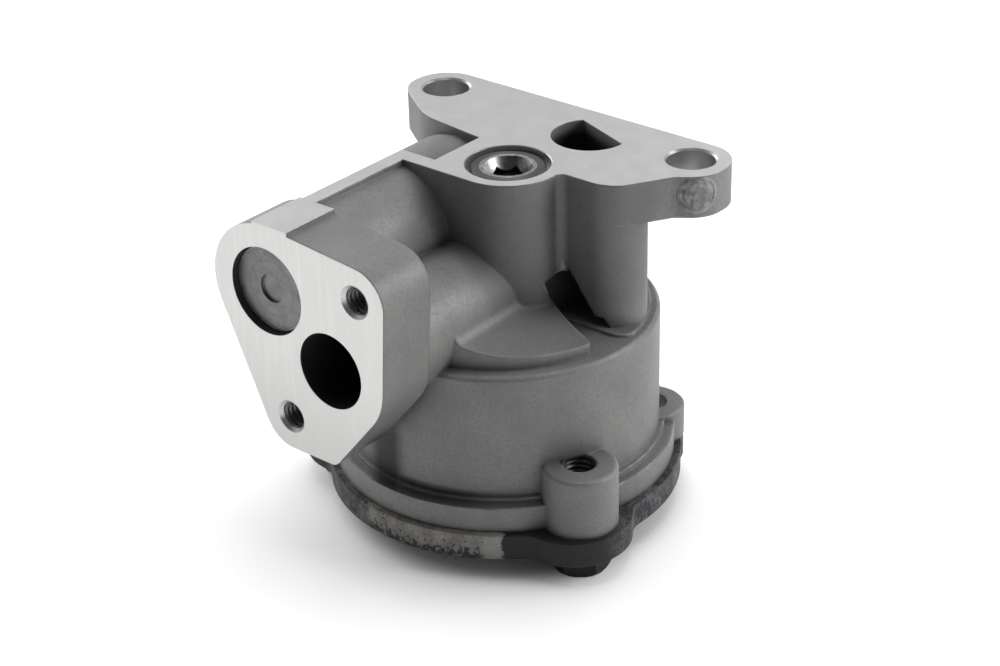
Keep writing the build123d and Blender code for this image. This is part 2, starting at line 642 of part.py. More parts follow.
    # Cover bolt holes: right through the front bosses, and past the tips behind.
    with BuildSketch(SPLIT):
        with Locations(*FRONT_BOLTS):
            Circle(BOLT_HOLE_RADIUS)
    extrude(amount=BOLT_BOSS_TOP_Z - SPLIT_Z, mode=Mode.SUBTRACT)
    with BuildSketch(SPLIT):
        with Locations(*REAR_BOLTS):
            Circle(BOLT_HOLE_RADIUS)
    extrude(amount=BOLT_TIP_Z + BOLT_TIP_GAP - SPLIT_Z, mode=Mode.SUBTRACT)

save(pump_body.part, "pump_body")

# ---------------------------------------------------------------- cover
with BuildPart() as cover:
    with BuildSketch(SPLIT):
        with Locations(HOUSING):
            Circle(COVER_RADIUS)
        with Locations(*COVER_FRONT_EARS):
            Circle(COVER_FRONT_EAR_RADIUS)
        with Locations(*REAR_BOLTS):
            Circle(COVER_REAR_EAR_RADIUS)
        fillet(vertices(), radius=COVER_EAR_BLEND)
    extrude(amount=-COVER_THICKNESS)
    chamfer(cover.edges().group_by(Axis.Z)[0], length=COVER_EDGE_CHAMFER)
    with BuildSketch(SPLIT):
        with Locations(*BOLTS):
            Circle(COVER_HOLE_RADIUS)
    extrude(amount=-COVER_THICKNESS, mode=Mode.SUBTRACT)
    # Shallow shadow ports under the rotors.
    with BuildSketch(SPLIT):
        SlotArc(INLET_ARC, PORT_WIDTH)
        SlotArc(OUTLET_ARC, PORT_WIDTH)
    extrude(amount=-SHADOW_PORT_DEPTH, mode=Mode.SUBTRACT)

save(cover.part, "cover")

# ---------------------------------------------------------------- gerotor pair
# The cavity's root circle lies just outside the furthest reach of the inner rotor's tips.
ROOT_RADIUS = LOBE_CIRCLE_RADIUS - LOBE_RADIUS + 2 * ECCENTRICITY + ROOT_CLEARANCE

with BuildPart() as outer_rotor:
    with BuildSketch(Plane.XY.offset(ROTOR_BOTTOM_Z)):
        with Locations(HOUSING):
            Circle(OUTER_ROTOR_RADIUS)
    extrude(amount=ROTOR_HEIGHT)
    chamfer(outer_rotor.edges(), length=ROTOR_EDGE_CHAMFER)
    with BuildSketch(Plane.XY.offset(ROTOR_BOTTOM_Z)):
        with Locations(HOUSING):
            Circle(ROOT_RADIUS)
            with PolarLocations(LOBE_CIRCLE_RADIUS, OUTER_LOBES, start_angle=180 / OUTER_LOBES):
                Circle(LOBE_RADIUS, mode=Mode.SUBTRACT)
        fillet(vertices(), radius=LOBE_ROOT_ROUND)
    extrude(amount=ROTOR_HEIGHT, mode=Mode.SUBTRACT)

save(outer_rotor.part, "outer_rotor")


def inner_profile_point(turn):
    """Point of the inner rotor's outline: the envelope of one outer lobe over the mesh."""
    swing = turn / OUTER_LOBES
    x = ECCENTRICITY * cos(turn) + LOBE_CIRCLE_RADIUS * cos(swing)
    y = ECCENTRICITY * sin(turn) + LOBE_CIRCLE_RADIUS * sin(swing)
    dx = -ECCENTRICITY * sin(turn) - LOBE_CIRCLE_RADIUS / OUTER_LOBES * sin(swing)
    dy = ECCENTRICITY * cos(turn) + LOBE_CIRCLE_RADIUS / OUTER_LOBES * cos(swing)
    inset = (LOBE_RADIUS + MESH_CLEARANCE) / sqrt(dx**2 + dy**2)
    return (x - inset * dy, y + inset * dx)


ARCS_PER_LOBE = 8
PROFILE_POINTS = 2 * ARCS_PER_LOBE * INNER_LOBES
inner_points = [
    inner_profile_point(2 * pi * OUTER_LOBES * step / PROFILE_POINTS)
    for step in range(PROFILE_POINTS + 1)
]

with BuildPart() as inner_rotor:
    with BuildSketch(Plane.XY.offset(ROTOR_BOTTOM_Z)):
        with BuildLine():
            for step in range(0, PROFILE_POINTS, 2):
                ThreePointArc(*inner_points[step : step + 3])
        make_face()
        Circle(SHAFT_RADIUS + SHAFT_FIT_CLEARANCE, mode=Mode.SUBTRACT)
    extrude(amount=ROTOR_HEIGHT)
    # Slot for the cross pin, open at the top.
    with BuildSketch(Plane.XY.offset(ROTOR_TOP_Z)):
        Rectangle(
            PIN_LENGTH + 2 * PIN_SLOT_CLEARANCE, 2 * (PIN_RADIUS + PIN_SLOT_CLEARANCE)
        )
    extrude(amount=-PIN_SLOT_DEPTH, mode=Mode.SUBTRACT)

save(inner_rotor.part, "inner_rotor")

# ---------------------------------------------------------------- drive shaft and pin
HEX_MOUTH_DEPTH = (HEX_MOUTH_RADIUS - HEX_ACROSS_FLATS / 2) / tan(radians(HEX_MOUTH_HALF_ANGLE))
SHAFT_TOP = Plane.XY.offset(-SHAFT_RECESS)
PIN_PLANE = Plane(origin=(0, 0, PIN_Z), z_dir=(1, 0, 0))

with BuildPart() as drive_shaft:
    with BuildSketch(SHAFT_TOP):
        Circle(SHAFT_RADIUS)
    extrude(amount=SHAFT_BOTTOM_Z + SHAFT_RECESS)
    chamfer(drive_shaft.edges().filter_by(GeomType.CIRCLE), length=SHAFT_END_CHAMFER)
    with BuildSketch(SHAFT_TOP):
        RegularPolygon(
            HEX_ACROSS_FLATS / 2, 6, major_radius=False, rotation=HEX_CORNER_ANGLE
        )
    extrude(amount=-HEX_DEPTH, mode=Mode.SUBTRACT)
    with BuildSketch(SHAFT_TOP):
        Circle(HEX_MOUTH_RADIUS)
    extrude(amount=-HEX_MOUTH_DEPTH, taper=HEX_MOUTH_HALF_ANGLE, mode=Mode.SUBTRACT)
    with BuildSketch(PIN_PLANE):
        Circle(PIN_RADIUS + PIN_CLEARANCE)
    extrude(amount=SHAFT_RADIUS, both=True, mode=Mode.SUBTRACT)

save(drive_shaft.part, "drive_shaft")

with BuildPart() as rotor_pin:
    with BuildSketch(PIN_PLANE):
        Circle(PIN_RADIUS)
    extrude(amount=PIN_LENGTH / 2, both=True)
    chamfer(rotor_pin.edges().group_by(Axis.X)[0], length=PIN_END_CHAMFER)
    chamfer(rotor_pin.edges().group_by(Axis.X)[-1], length=PIN_END_CHAMFER)

save(rotor_pin.part, "rotor_pin")

# ---------------------------------------------------------------- relief valve
PLUG_INNER = Plane(origin=(RELIEF_X, PLUG_INNER_Y, RELIEF_Z), x_dir=(1, 0, 0), z_dir=(0, -1, 0))
PLUNGER_TOP = Plane(origin=(RELIEF_X, PLUNGER_TOP_Y, RELIEF_Z), x_dir=(1, 0, 0), z_dir=(0, -1, 0))
PLUNGER_RADIUS = RELIEF_BORE_RADIUS - PLUNGER_CLEARANCE

with BuildPart() as relief_plug:
    with BuildSketch(PLUG_INNER):
        Circle(PLUG_RADIUS - PLUG_CLEARANCE)
    extrude(amount=PLUG_THICKNESS)
    chamfer(relief_plug.edges().group_by(Axis.Y)[0], length=PLUG_EDGE_CHAMFER)
    with BuildSketch(PLUG_INNER.offset(PLUG_THICKNESS)):
        Circle(PLUG_DIMPLE_RADIUS)
    extrude(amount=-PLUG_DIMPLE_DEPTH, mode=Mode.SUBTRACT)
    with BuildSketch(PLUG_INNER):
        Circle(PLUG_BOSS_RADIUS)
    extrude(amount=-PLUG_BOSS_LENGTH)
    chamfer(relief_plug.edges().group_by(Axis.Y)[-1], length=PLUG_EDGE_CHAMFER)

save(relief_plug.part, "relief_plug")

with BuildPart() as relief_plunger:
    with BuildSketch(PLUNGER_TOP):
        Circle(PLUNGER_RADIUS)
    extrude(amount=PLUNGER_LENGTH)
    with BuildSketch(PLUNGER_TOP.offset(PLUNGER_CROWN)):
        Circle(PLUNGER_RADIUS - PLUNGER_WALL)
    extrude(amount=PLUNGER_LENGTH - PLUNGER_CROWN, mode=Mode.SUBTRACT)
    chamfer(relief_plunger.edges().group_by(Axis.Y)[-1], length=PLUNGER_EDGE_CHAMFER)

save(relief_plunger.part, "relief_plunger")

SPRING_FRONT_Y = PLUG_INNER_Y + SPRING_WIRE_RADIUS + SPRING_END_GAP
SPRING_BACK_Y = PLUNGER_TOP_Y - PLUNGER_CROWN - SPRING_WIRE_RADIUS - SPRING_END_GAP
SPRING_LENGTH = SPRING_BACK_Y - SPRING_FRONT_Y

with BuildPart() as relief_spring:
    with BuildLine() as coil:
        Helix(
            pitch=SPRING_LENGTH / SPRING_TURNS,
            height=SPRING_LENGTH,
            radius=SPRING_COIL_RADIUS,
            center=(RELIEF_X, SPRING_FRONT_Y, RELIEF_Z),
            direction=(0, 1, 0),
        )
    with BuildSketch(Plane(origin=coil.line @ 0, z_dir=coil.line % 0)):
        Circle(SPRING_WIRE_RADIUS)
    sweep(path=coil.line, is_frenet=True)

save(relief_spring.part, "relief_spring")

# ---------------------------------------------------------------- cover bolts
HEAD_CORNER_RADIUS = BOLT_HEAD_FLATS / 2 / cos(radians(30))
HEAD_SEAT = Plane.XY.offset(COVER_BOTTOM_Z)

with BuildPart() as bolt:
    with BuildSketch(HEAD_SEAT):
        Circle(HEAD_CORNER_RADIUS)
    extrude(amount=-BOLT_HEAD_HEIGHT)
    chamfer(bolt.edges().group_by(Axis.Z)[0], length=BOLT_HEAD_CHAMFER)
    with BuildSketch(HEAD_SEAT):
        RegularPolygon(BOLT_HEAD_FLATS / 2, 6, major_radius=False)
    extrude(amount=-BOLT_HEAD_HEIGHT, mode=Mode.INTERSECT)
    with BuildSketch(HEAD_SEAT):
        Circle(BOLT_RADIUS)
    extrude(amount=BOLT_LENGTH)
    chamfer(bolt.edges().group_by(Axis.Z)[-1], length=BOLT_TIP_CHAMFER)

for number, (x, y) in enumerate(BOLTS, start=1):
    place = Location((x, y, 0), (0, 0, BOLT_HEAD_TURN * number))
    save(bolt.part.moved(place), f"cover_bolt_{number}")
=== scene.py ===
import math

import bmesh
import bpy
from mathutils import Matrix, Vector
from mathutils.bvhtree import BVHTree
from mathutils.noise import noise as wobble


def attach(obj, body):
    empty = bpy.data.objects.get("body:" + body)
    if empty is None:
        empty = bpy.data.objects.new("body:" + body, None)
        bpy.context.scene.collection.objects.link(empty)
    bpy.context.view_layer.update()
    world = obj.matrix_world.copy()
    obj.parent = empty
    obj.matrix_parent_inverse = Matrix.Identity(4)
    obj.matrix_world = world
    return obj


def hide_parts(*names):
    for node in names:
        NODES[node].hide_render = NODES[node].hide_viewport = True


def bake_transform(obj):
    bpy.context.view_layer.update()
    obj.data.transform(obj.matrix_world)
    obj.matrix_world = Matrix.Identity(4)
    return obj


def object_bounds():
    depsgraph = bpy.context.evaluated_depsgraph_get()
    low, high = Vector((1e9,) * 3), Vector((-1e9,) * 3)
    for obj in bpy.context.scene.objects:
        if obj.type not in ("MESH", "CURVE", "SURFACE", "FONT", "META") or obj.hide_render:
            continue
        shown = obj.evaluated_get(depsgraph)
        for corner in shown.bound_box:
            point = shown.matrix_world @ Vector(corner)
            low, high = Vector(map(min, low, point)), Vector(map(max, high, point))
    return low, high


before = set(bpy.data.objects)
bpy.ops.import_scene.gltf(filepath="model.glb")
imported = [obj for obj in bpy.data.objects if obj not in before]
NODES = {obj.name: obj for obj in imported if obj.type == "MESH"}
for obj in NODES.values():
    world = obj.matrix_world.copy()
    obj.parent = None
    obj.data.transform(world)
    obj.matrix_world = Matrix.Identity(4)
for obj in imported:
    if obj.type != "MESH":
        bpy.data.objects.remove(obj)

CAD_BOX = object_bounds()
MM = 0.001

# ---------------------------------------------------------------- the view
VIEW_PLACE = Vector((241.82, -290.85, 168.16)) * MM
VIEW_AZIMUTH, VIEW_ELEVATION, VIEW_ROLL = (math.radians(angle) for angle in (40.08, 28.20, -1.52))
FOCAL_PX = 2301.0
VIEW_WIDTH_PX, VIEW_HEIGHT_PX = 1000.0, 666.0
VIEW_BACK = Vector((
    math.sin(VIEW_AZIMUTH) * math.cos(VIEW_ELEVATION),
    -math.cos(VIEW_AZIMUTH) * math.cos(VIEW_ELEVATION),
    math.sin(VIEW_ELEVATION),
))
LEVEL_RIGHT = Vector((math.cos(VIEW_AZIMUTH), math.sin(VIEW_AZIMUTH), 0))
LEVEL_UP = VIEW_BACK.cross(LEVEL_RIGHT)
VIEW_RIGHT = math.cos(VIEW_ROLL) * LEVEL_RIGHT + math.sin(VIEW_ROLL) * LEVEL_UP
VIEW_UP = math.cos(VIEW_ROLL) * LEVEL_UP - math.sin(VIEW_ROLL) * LEVEL_RIGHT


# ---------------------------------------------------------------- helpers
OCCLUSION_SAMPLES = 4
BEVEL_SAMPLES = 6


def linear(red, green, blue):
    """A shown colour, 0 to 255, as the linear colour a shader takes."""
    def channel(value):
        share = value / 255
        return share / 12.92 if share <= 0.04045 else ((share + 0.055) / 1.055) ** 2.4
    return (channel(red), channel(green), channel(blue), 1.0)


class Finish:
    """A material, with short ways to write the patterns that it is made of."""

    def __init__(self, name):
        self.material = bpy.data.materials.new(name)
        self.material.use_nodes = True
        self.tree = self.material.node_tree
        self.shader = self.tree.nodes["Principled BSDF"]
        self.place = self.node("ShaderNodeTexCoord").outputs["Object"]
        axes = self.node("ShaderNodeSeparateXYZ")
        self.put(axes.inputs[0], self.place)
        self.x, self.y, self.z = axes.outputs

    def node(self, kind, **settings):
        made = self.tree.nodes.new(kind)
        for key, value in settings.items():
            setattr(made, key, value)
        return made

    def put(self, socket, value):
        if isinstance(value, bpy.types.NodeSocket):
            self.tree.links.new(value, socket)
        else:
            socket.default_value = value

    def maths(self, operation, first, second=0.0):
        made = self.node("ShaderNodeMath", operation=operation)
        self.put(made.inputs[0], first)
        self.put(made.inputs[1], second)
        return made.outputs[0]

    def add(self, first, *others):
        for other in others:
            first = self.maths("ADD", first, other)
        return first

    def times(self, first, *others):
        for other in others:
            first = self.maths("MULTIPLY", first, other)
        return first

    def either(self, first, *others):
        for other in others:
            first = self.maths("MAXIMUM", first, other)
        return first

    def inverse(self, value):
        return self.maths("SUBTRACT", 1.0, value)

    def ramp(self, value, low, high, start=0.0, end=1.0):
        """A value from start to end, as another goes from low to high."""
        made = self.node("ShaderNodeMapRange", interpolation_type="SMOOTHSTEP")
        for socket, number in zip(made.inputs, (value, low, high, start, end)):
            self.put(socket, number)
        return made.outputs[0]

    def fall(self, value, low, high):
        """1 below a low value and 0 above a high one."""
        return self.ramp(value, low, high, 1.0, 0.0)

    def moved(self, offset=(0, 0, 0), stretch=(1, 1, 1)):
        """The place on the object, shifted and then stretched along its axes."""
        shift = self.node("ShaderNodeVectorMath", operation="ADD")
        self.put(shift.inputs[0], self.place)
        shift.inputs[1].default_value = offset
        scale = self.node("ShaderNodeVectorMath", operation="MULTIPLY")
        self.put(scale.inputs[0], shift.outputs[0])
        scale.inputs[1].default_value = stretch
        return scale.outputs[0]

    def length(self, vector):
        """Length of a vector."""
        made = self.node("ShaderNodeVectorMath", operation="LENGTH")
        self.put(made.inputs[0], vector)
        return made.outputs["Value"]

    def from_upright_axis(self, x, y):
        """Distance from the vertical line through x, y."""
        return self.length(self.moved((-x, -y, 0), (1, 1, 0)))

    def from_level_axis(self, x, z):
        """Distance from the line through x, z that runs front to back."""
        return self.length(self.moved((-x, 0, -z), (1, 0, 1)))

    def noise(self, size, detail, roughness, stretch=(1, 1, 1)):
        made = self.node("ShaderNodeTexNoise")
        self.put(made.inputs["Vector"], self.moved(stretch=stretch))
        made.inputs["Scale"].default_value = 1 / size
        made.inputs["Detail"].default_value = detail
        made.inputs["Roughness"].default_value = roughness
        return made.outputs["Fac"]

    def sweep(self, way):
        """Distance along a level direction."""
        made = self.node("ShaderNodeVectorMath", operation="DOT_PRODUCT")
        self.put(made.inputs[0], self.place)
        made.inputs[1].default_value = way
        return made.outputs["Value"]

    def rings(self, distance, pitch):
        """Fine rings like a lathe's, spaced by a pitch."""
        turns = self.maths("SINE", self.times(distance, 2 * math.pi / pitch))
        return self.add(self.times(turns, 0.5), 0.5)

    def within(self, distance, reach, soft):
        """1 inside a reach and 0 outside it."""
        return self.fall(distance, reach - soft, reach)

    def nook(self, reach):
        """1 deep in a corner or hollow and 0 on an open face."""
        made = self.node("ShaderNodeAmbientOcclusion", samples=OCCLUSION_SAMPLES)
        self.put(made.inputs["Distance"], reach)
        return self.inverse(made.outputs["AO"])

    def ridge(self, reach):
        """1 along an outer edge and 0 elsewhere."""
        made = self.node("ShaderNodeAmbientOcclusion", samples=OCCLUSION_SAMPLES, inside=True)
        self.put(made.inputs["Distance"], reach)
        return self.inverse(made.outputs["AO"])

    def mix(self, share, first, second):
        made = self.node("ShaderNodeMix", data_type="RGBA")
        self.put(made.inputs["Factor"], share)
        colours = [socket for socket in made.inputs if socket.type == "RGBA"]
        self.put(colours[0], first)
        self.put(colours[1], second)
        return [socket for socket in made.outputs if socket.type == "RGBA"][0]

    def tint(self, base, where, tint):
        """A tint, as (strength, tone), laid over a colour where a mask is 1."""
        strength, tone = tint
        return self.mix(self.times(where, strength), base, tone)

    def blend(self, share, first, second):
        made = self.node("ShaderNodeMix", data_type="FLOAT")
        self.put(made.inputs["Factor"], share)
        numbers = [socket for socket in made.inputs if socket.type == "VALUE"]
        self.put(numbers[1], first)
        self.put(numbers[2], second)
        return [socket for socket in made.outputs if socket.type == "VALUE"][0]

    def rounded(self, radius, height, strength, depth):
        """Edges rounded by a radius, and a height pattern on top."""
        bevel = self.node("ShaderNodeBevel", samples=BEVEL_SAMPLES)
        self.put(bevel.inputs["Radius"], radius)
        relief = self.node("ShaderNodeBump")
        relief.inputs["Strength"].default_value = strength
        relief.inputs["Distance"].default_value = depth
        self.put(relief.inputs["Height"], height)
        self.put(relief.inputs["Normal"], bevel.outputs[0])
        self.put(self.shader.inputs["Normal"], relief.outputs[0])

    def show(self, colour, roughness, metallic):
        self.put(self.shader.inputs["Base Color"], colour)
        self.put(self.shader.inputs["Roughness"], roughness)
        self.put(self.shader.inputs["Metallic"], metallic)


# ---------------------------------------------------------------- places on the casting
ACROSS_WAY = (0.766, 0.643, 0)
TOWARD_WAY = (0.643, -0.766, 0)
SOFT_EDGE = 0.08 * MM
FACE_NEAR = 0.02 * MM
FACE_FAR = 0.06 * MM
PICKUP_Y = -45.0 * MM
PICKUP_SHADE_Z = (-20 * MM, -44 * MM)
EAR_BOTTOM_Z = -8.2 * MM
EAR_LEFT = (-32.4 * MM, 20.8 * MM)
EAR_RIGHT = (25.4 * MM, 20.8 * MM)
EAR_HOLE_REACH = 5.0 * MM
DRIVE_REACH = 8.05 * MM
OUTLET = (4.25 * MM, 18.6 * MM)
OUTLET_REACH = 7.4 * MM
OUTLET_DARK_Z = (-0.8 * MM, -3.2 * MM)
RELIEF = (-17.7 * MM, -12.9 * MM)
RELIEF_REACH = 8.4 * MM
RELIEF_SEAT_DEPTH = 4 * MM
SUCTION = (-3.4 * MM, -24.0 * MM)
SUCTION_REACH = 7.3 * MM
SUCTION_END_Y = -12.0 * MM
SUCTION_FADE = 2 * MM
TAPPED = ((3.3 * MM, -8.6 * MM), (-13.85 * MM, -36.65 * MM))
TAPPED_REACH = 3.3 * MM
TAPPED_FACE_DEPTH = 12 * MM
BLOCK_BACK_Y = -32.0 * MM
SHADOW_LEFT = -27.5 * MM
SHADOW_RIGHT = -19.4 * MM
SHADOW_TOP_Z = -36.0 * MM
SHADOW_FALL = 9 * MM
SHADOW_SIDE = 3 * MM
SHADOW_BACK_Y = -25.0 * MM
SHADOW_BACK_FADE = 2 * MM
GROOVE_FADE = -12.0 * MM
GROOVE_RIGHT = 4.0 * MM
GROOVE_HIGH = 2.2 * MM
GROOVE_LOW = 1.2 * MM
GROOVE_FRONT_Y = -8 * MM
FLANGE_TOP_Z = -53.8 * MM
FLANGE_FADE = (0.25 * MM, 0.05 * MM)
TOWERS_MIDDLE = (3.0 * MM, 8.0 * MM)
TOWERS_REACH = 24.0 * MM
TOWERS_SOFT = 3 * MM
TOWERS_FOOT_Z = -26.0 * MM
TOWERS_RISE = 4 * MM


# ---------------------------------------------------------------- finishes
# A pattern is the size of its cells, its octaves and its roughness. A span is the two levels of a mask
# that a ramp runs between. A tint is its strength and its tone. A relief is its strength and its depth.
WIDE_SPAN = (0.2, 0.8)
BROAD_SPAN = (0.3, 0.7)
EVEN_SPAN = (0.35, 0.65)

BLOTCH = (14 * MM, 3, 0.6)
GRAIN = (0.55 * MM, 3, 0.65)
GRAIN_SPAN = (0.35, 0.7)
PITS = (1.6 * MM, 4, 0.7)
PIT_SPAN = (0.28, 0.42)
FLOW = (5 * MM, 2, 0.5, (1, 1, 0.35))
RUBBING = (7 * MM, 3, 0.6)
RUBBING_SPAN = (0.4, 0.6)
STREAKS = (1.1 * MM, 3, 0.6, (1, 1, 0.03))
STREAK_SPAN = (0.45, 0.7)
CUTTER_LINES = (0.35 * MM, 2, 0.6, (0.12, 1, 0.03))
NOOK_SHADE_REACH = 12 * MM
NOOK_SHADE_SPAN = (0.2, 0.75)
EDGE_REACH = 0.7 * MM
EDGE_SPAN = (0.2, 0.5)
CAST_DARK = linear(119, 119, 119)
CAST_PALE = linear(131, 131, 130)
TOWERS_SHADE_TINT = (0.4, linear(84, 84, 89))
GRAIN_TINT = (0.35, linear(104, 103, 102))
PIT_TINT = (0.25, linear(82, 81, 80))
NOOK_SHADE_TINT = (0.55, linear(48, 47, 49))
EDGE_WEAR_AND_HIGHLIGHT_TINT = (0.5, linear(196, 195, 192))
PAINTED_SHADE_STRENGTH = 0.9
GROOVE_SHADE_STRENGTH = 0.75
PAINTED_SHADE_TONE = linear(26, 26, 31)
CUT_DARK = linear(200, 201, 201)
CUT_PALE = linear(208, 208, 207)
PICKUP_REFLECTION_TINT = (0.7, linear(226, 226, 224))
STREAK_TINT = (0.35, linear(236, 236, 234))
PICKUP_LOW_SHADE_TINT = (0.6, linear(196, 196, 195))
BORE_TONE = linear(158, 158, 159)
EAR_HOLE_TONE = linear(176, 176, 176)
SEAT_SHADE_TONE = linear(40, 40, 42)
DEEP_SHADE_TONE = linear(22, 22, 24)
CAST_ROUGHNESS = (0.46, 0.60)
CUT_ROUGHNESS = 0.34
OILED_ROUGHNESS = 0.7
CAST_METALLIC = 0.35
CUT_METALLIC = 0.85
CAST_HEIGHTS = (0.6, 0.25, 0.8)
LINE_HEIGHT = 0.25
CAST_EDGE = 0.8 * MM
CUT_EDGE = 0.12 * MM
CAST_RELIEF = (0.5, 0.08 * MM)


def cast_aluminium():
    """Shot-blasted die casting, with its machined faces and drilled holes."""
    f = Finish("die_cast_aluminium")
    top = f.ramp(f.z, -FACE_FAR, -FACE_NEAR)
    pickup = f.fall(f.y, PICKUP_Y + FACE_NEAR, PICKUP_Y + FACE_FAR)
    below_top = f.inverse(top)
    behind_pickup = f.inverse(pickup)
    bore = f.times(f.within(f.from_upright_axis(0, 0), DRIVE_REACH, SOFT_EDGE), below_top)
    seat = f.times(f.within(f.from_level_axis(*RELIEF), RELIEF_REACH, SOFT_EDGE), behind_pickup)
    seat_end = PICKUP_Y + RELIEF_SEAT_DEPTH
    seat = f.times(seat, f.fall(f.y, seat_end, seat_end + MM))
    ears = f.either(*(
        f.within(f.from_upright_axis(*ear), EAR_HOLE_REACH, SOFT_EDGE) for ear in (EAR_LEFT, EAR_RIGHT)
    ))
    ears = f.times(ears, f.ramp(f.z, EAR_BOTTOM_Z, EAR_BOTTOM_Z + SOFT_EDGE), below_top)
    tapped = f.either(*(
        f.within(f.from_level_axis(*hole), TAPPED_REACH, SOFT_EDGE) for hole in TAPPED
    ))
    tapped_end = PICKUP_Y + TAPPED_FACE_DEPTH
    tapped = f.times(tapped, f.fall(f.y, tapped_end, tapped_end + MM))
    suction = f.times(f.within(f.from_level_axis(*SUCTION), SUCTION_REACH, SOFT_EDGE), behind_pickup)
    suction = f.times(suction, f.fall(f.y, SUCTION_END_Y - SUCTION_FADE, SUCTION_END_Y))
    outlet = f.times(f.within(f.from_upright_axis(*OUTLET), OUTLET_REACH, SOFT_EDGE), below_top)
    oiled = f.either(suction, outlet)
    machined = f.either(top, pickup, bore, seat, ears, tapped)

    blotch = f.noise(*BLOTCH)
    grain = f.noise(*GRAIN)
    pits = f.ramp(f.noise(*PITS), *PIT_SPAN)
    flow = f.noise(*FLOW)
    # Painted shade: the cast colour is darkened in corners and hollows, found by ambient occlusion.
    nook_shade = f.ramp(f.nook(NOOK_SHADE_REACH), *NOOK_SHADE_SPAN)
    rubbed = f.ramp(f.noise(*RUBBING), *RUBBING_SPAN)
    # Outer edges lightened: partly rubbed wear, partly a painted highlight along the edges; none on the
    # pickup block.
    edge = f.times(f.ramp(f.ridge(EDGE_REACH), *EDGE_SPAN), rubbed)
    edge = f.times(edge, f.ramp(f.y, BLOCK_BACK_Y, BLOCK_BACK_Y + MM))
    # Painted shade: the drive and outlet towers above the housing are darkened where the top flange
    # shades them.
    towers_shade = f.within(f.from_upright_axis(*TOWERS_MIDDLE), TOWERS_REACH, TOWERS_SOFT)
    towers_shade = f.times(towers_shade, f.ramp(f.z, TOWERS_FOOT_Z, TOWERS_FOOT_Z + TOWERS_RISE))
    cast = f.mix(f.ramp(blotch, *BROAD_SPAN), CAST_DARK, CAST_PALE)
    cast = f.tint(cast, towers_shade, TOWERS_SHADE_TINT)
    cast = f.tint(cast, f.ramp(grain, *GRAIN_SPAN), GRAIN_TINT)
    cast = f.tint(cast, f.inverse(pits), PIT_TINT)
    cast = f.tint(cast, nook_shade, NOOK_SHADE_TINT)
    cast = f.tint(cast, edge, EDGE_WEAR_AND_HIGHLIGHT_TINT)
    along = f.sweep(ACROSS_WAY)
    # Painted shadow: a dark band on the housing wall beside the pickup block, where the block shades
    # it.
    block_shadow = f.times(
        f.ramp(along, SHADOW_LEFT, SHADOW_LEFT + SHADOW_SIDE),
        f.fall(along, SHADOW_RIGHT - SHADOW_SIDE, SHADOW_RIGHT),
        f.ramp(f.z, SHADOW_TOP_Z, SHADOW_TOP_Z - SHADOW_FALL),
        f.fall(f.y, SHADOW_BACK_Y - SHADOW_BACK_FADE, SHADOW_BACK_Y),
    )
    # Painted shade: a dark line along the housing just above the flange, at its front left.
    flange_groove_shade = f.times(
        f.ramp(along, SHADOW_LEFT, SHADOW_LEFT + SHADOW_SIDE),
        f.fall(along, GROOVE_FADE, GROOVE_RIGHT),
        f.ramp(f.z, FLANGE_TOP_Z + GROOVE_HIGH, FLANGE_TOP_Z + GROOVE_LOW),
        f.ramp(f.y, 0.0, GROOVE_FRONT_Y),
    )
    above_flange = f.ramp(f.z, FLANGE_TOP_Z - FLANGE_FADE[0], FLANGE_TOP_Z - FLANGE_FADE[1])
    painted_shade = f.either(block_shadow, f.times(flange_groove_shade, GROOVE_SHADE_STRENGTH))
    # The painted shadow and the painted groove shade darken the cast colour only above the flange.
    cast = f.mix(f.times(painted_shade, above_flange, PAINTED_SHADE_STRENGTH), cast, PAINTED_SHADE_TONE)
    streaks = f.noise(*STREAKS)
    cut = f.mix(f.ramp(flow, *BROAD_SPAN), CUT_DARK, CUT_PALE)
    # Painted reflection: the pickup face is lighter than the other machined faces, and painted shade
    # makes it darker towards its bottom.
    cut = f.tint(cut, pickup, PICKUP_REFLECTION_TINT)
    cut = f.tint(cut, f.times(pickup, f.ramp(streaks, *STREAK_SPAN)), STREAK_TINT)
    cut = f.tint(cut, f.times(pickup, f.ramp(f.z, *PICKUP_SHADE_Z)), PICKUP_LOW_SHADE_TINT)
    cut = f.mix(bore, cut, BORE_TONE)
    cut = f.mix(ears, cut, EAR_HOLE_TONE)
    # Painted shade: the bore round the relief plug is painted near black.
    cut = f.mix(seat, cut, SEAT_SHADE_TONE)
    colour = f.mix(machined, cast, cut)
    # Painted shade: the suction port and the outlet port below its mouth are painted near black.
    deep = f.times(f.ramp(f.z, *OUTLET_DARK_Z), outlet)
    colour = f.mix(f.either(suction, deep), colour, DEEP_SHADE_TONE)
    roughness = f.blend(machined, f.ramp(grain, *WIDE_SPAN, *CAST_ROUGHNESS), CUT_ROUGHNESS)
    roughness = f.blend(f.either(oiled, seat), roughness, OILED_ROUGHNESS)
    metallic = f.blend(machined, CAST_METALLIC, CUT_METALLIC)
    metallic = f.times(metallic, f.inverse(f.either(oiled, seat)))

    lines = f.noise(*CUTTER_LINES)
    sand = f.add(*(f.times(part, high) for part, high in zip((grain, pits, blotch), CAST_HEIGHTS)))
    height = f.blend(machined, sand, f.times(lines, LINE_HEIGHT))
    f.rounded(f.blend(machined, CAST_EDGE, CUT_EDGE), height, *CAST_RELIEF)
    f.show(colour, roughness, metallic)
    return f.material


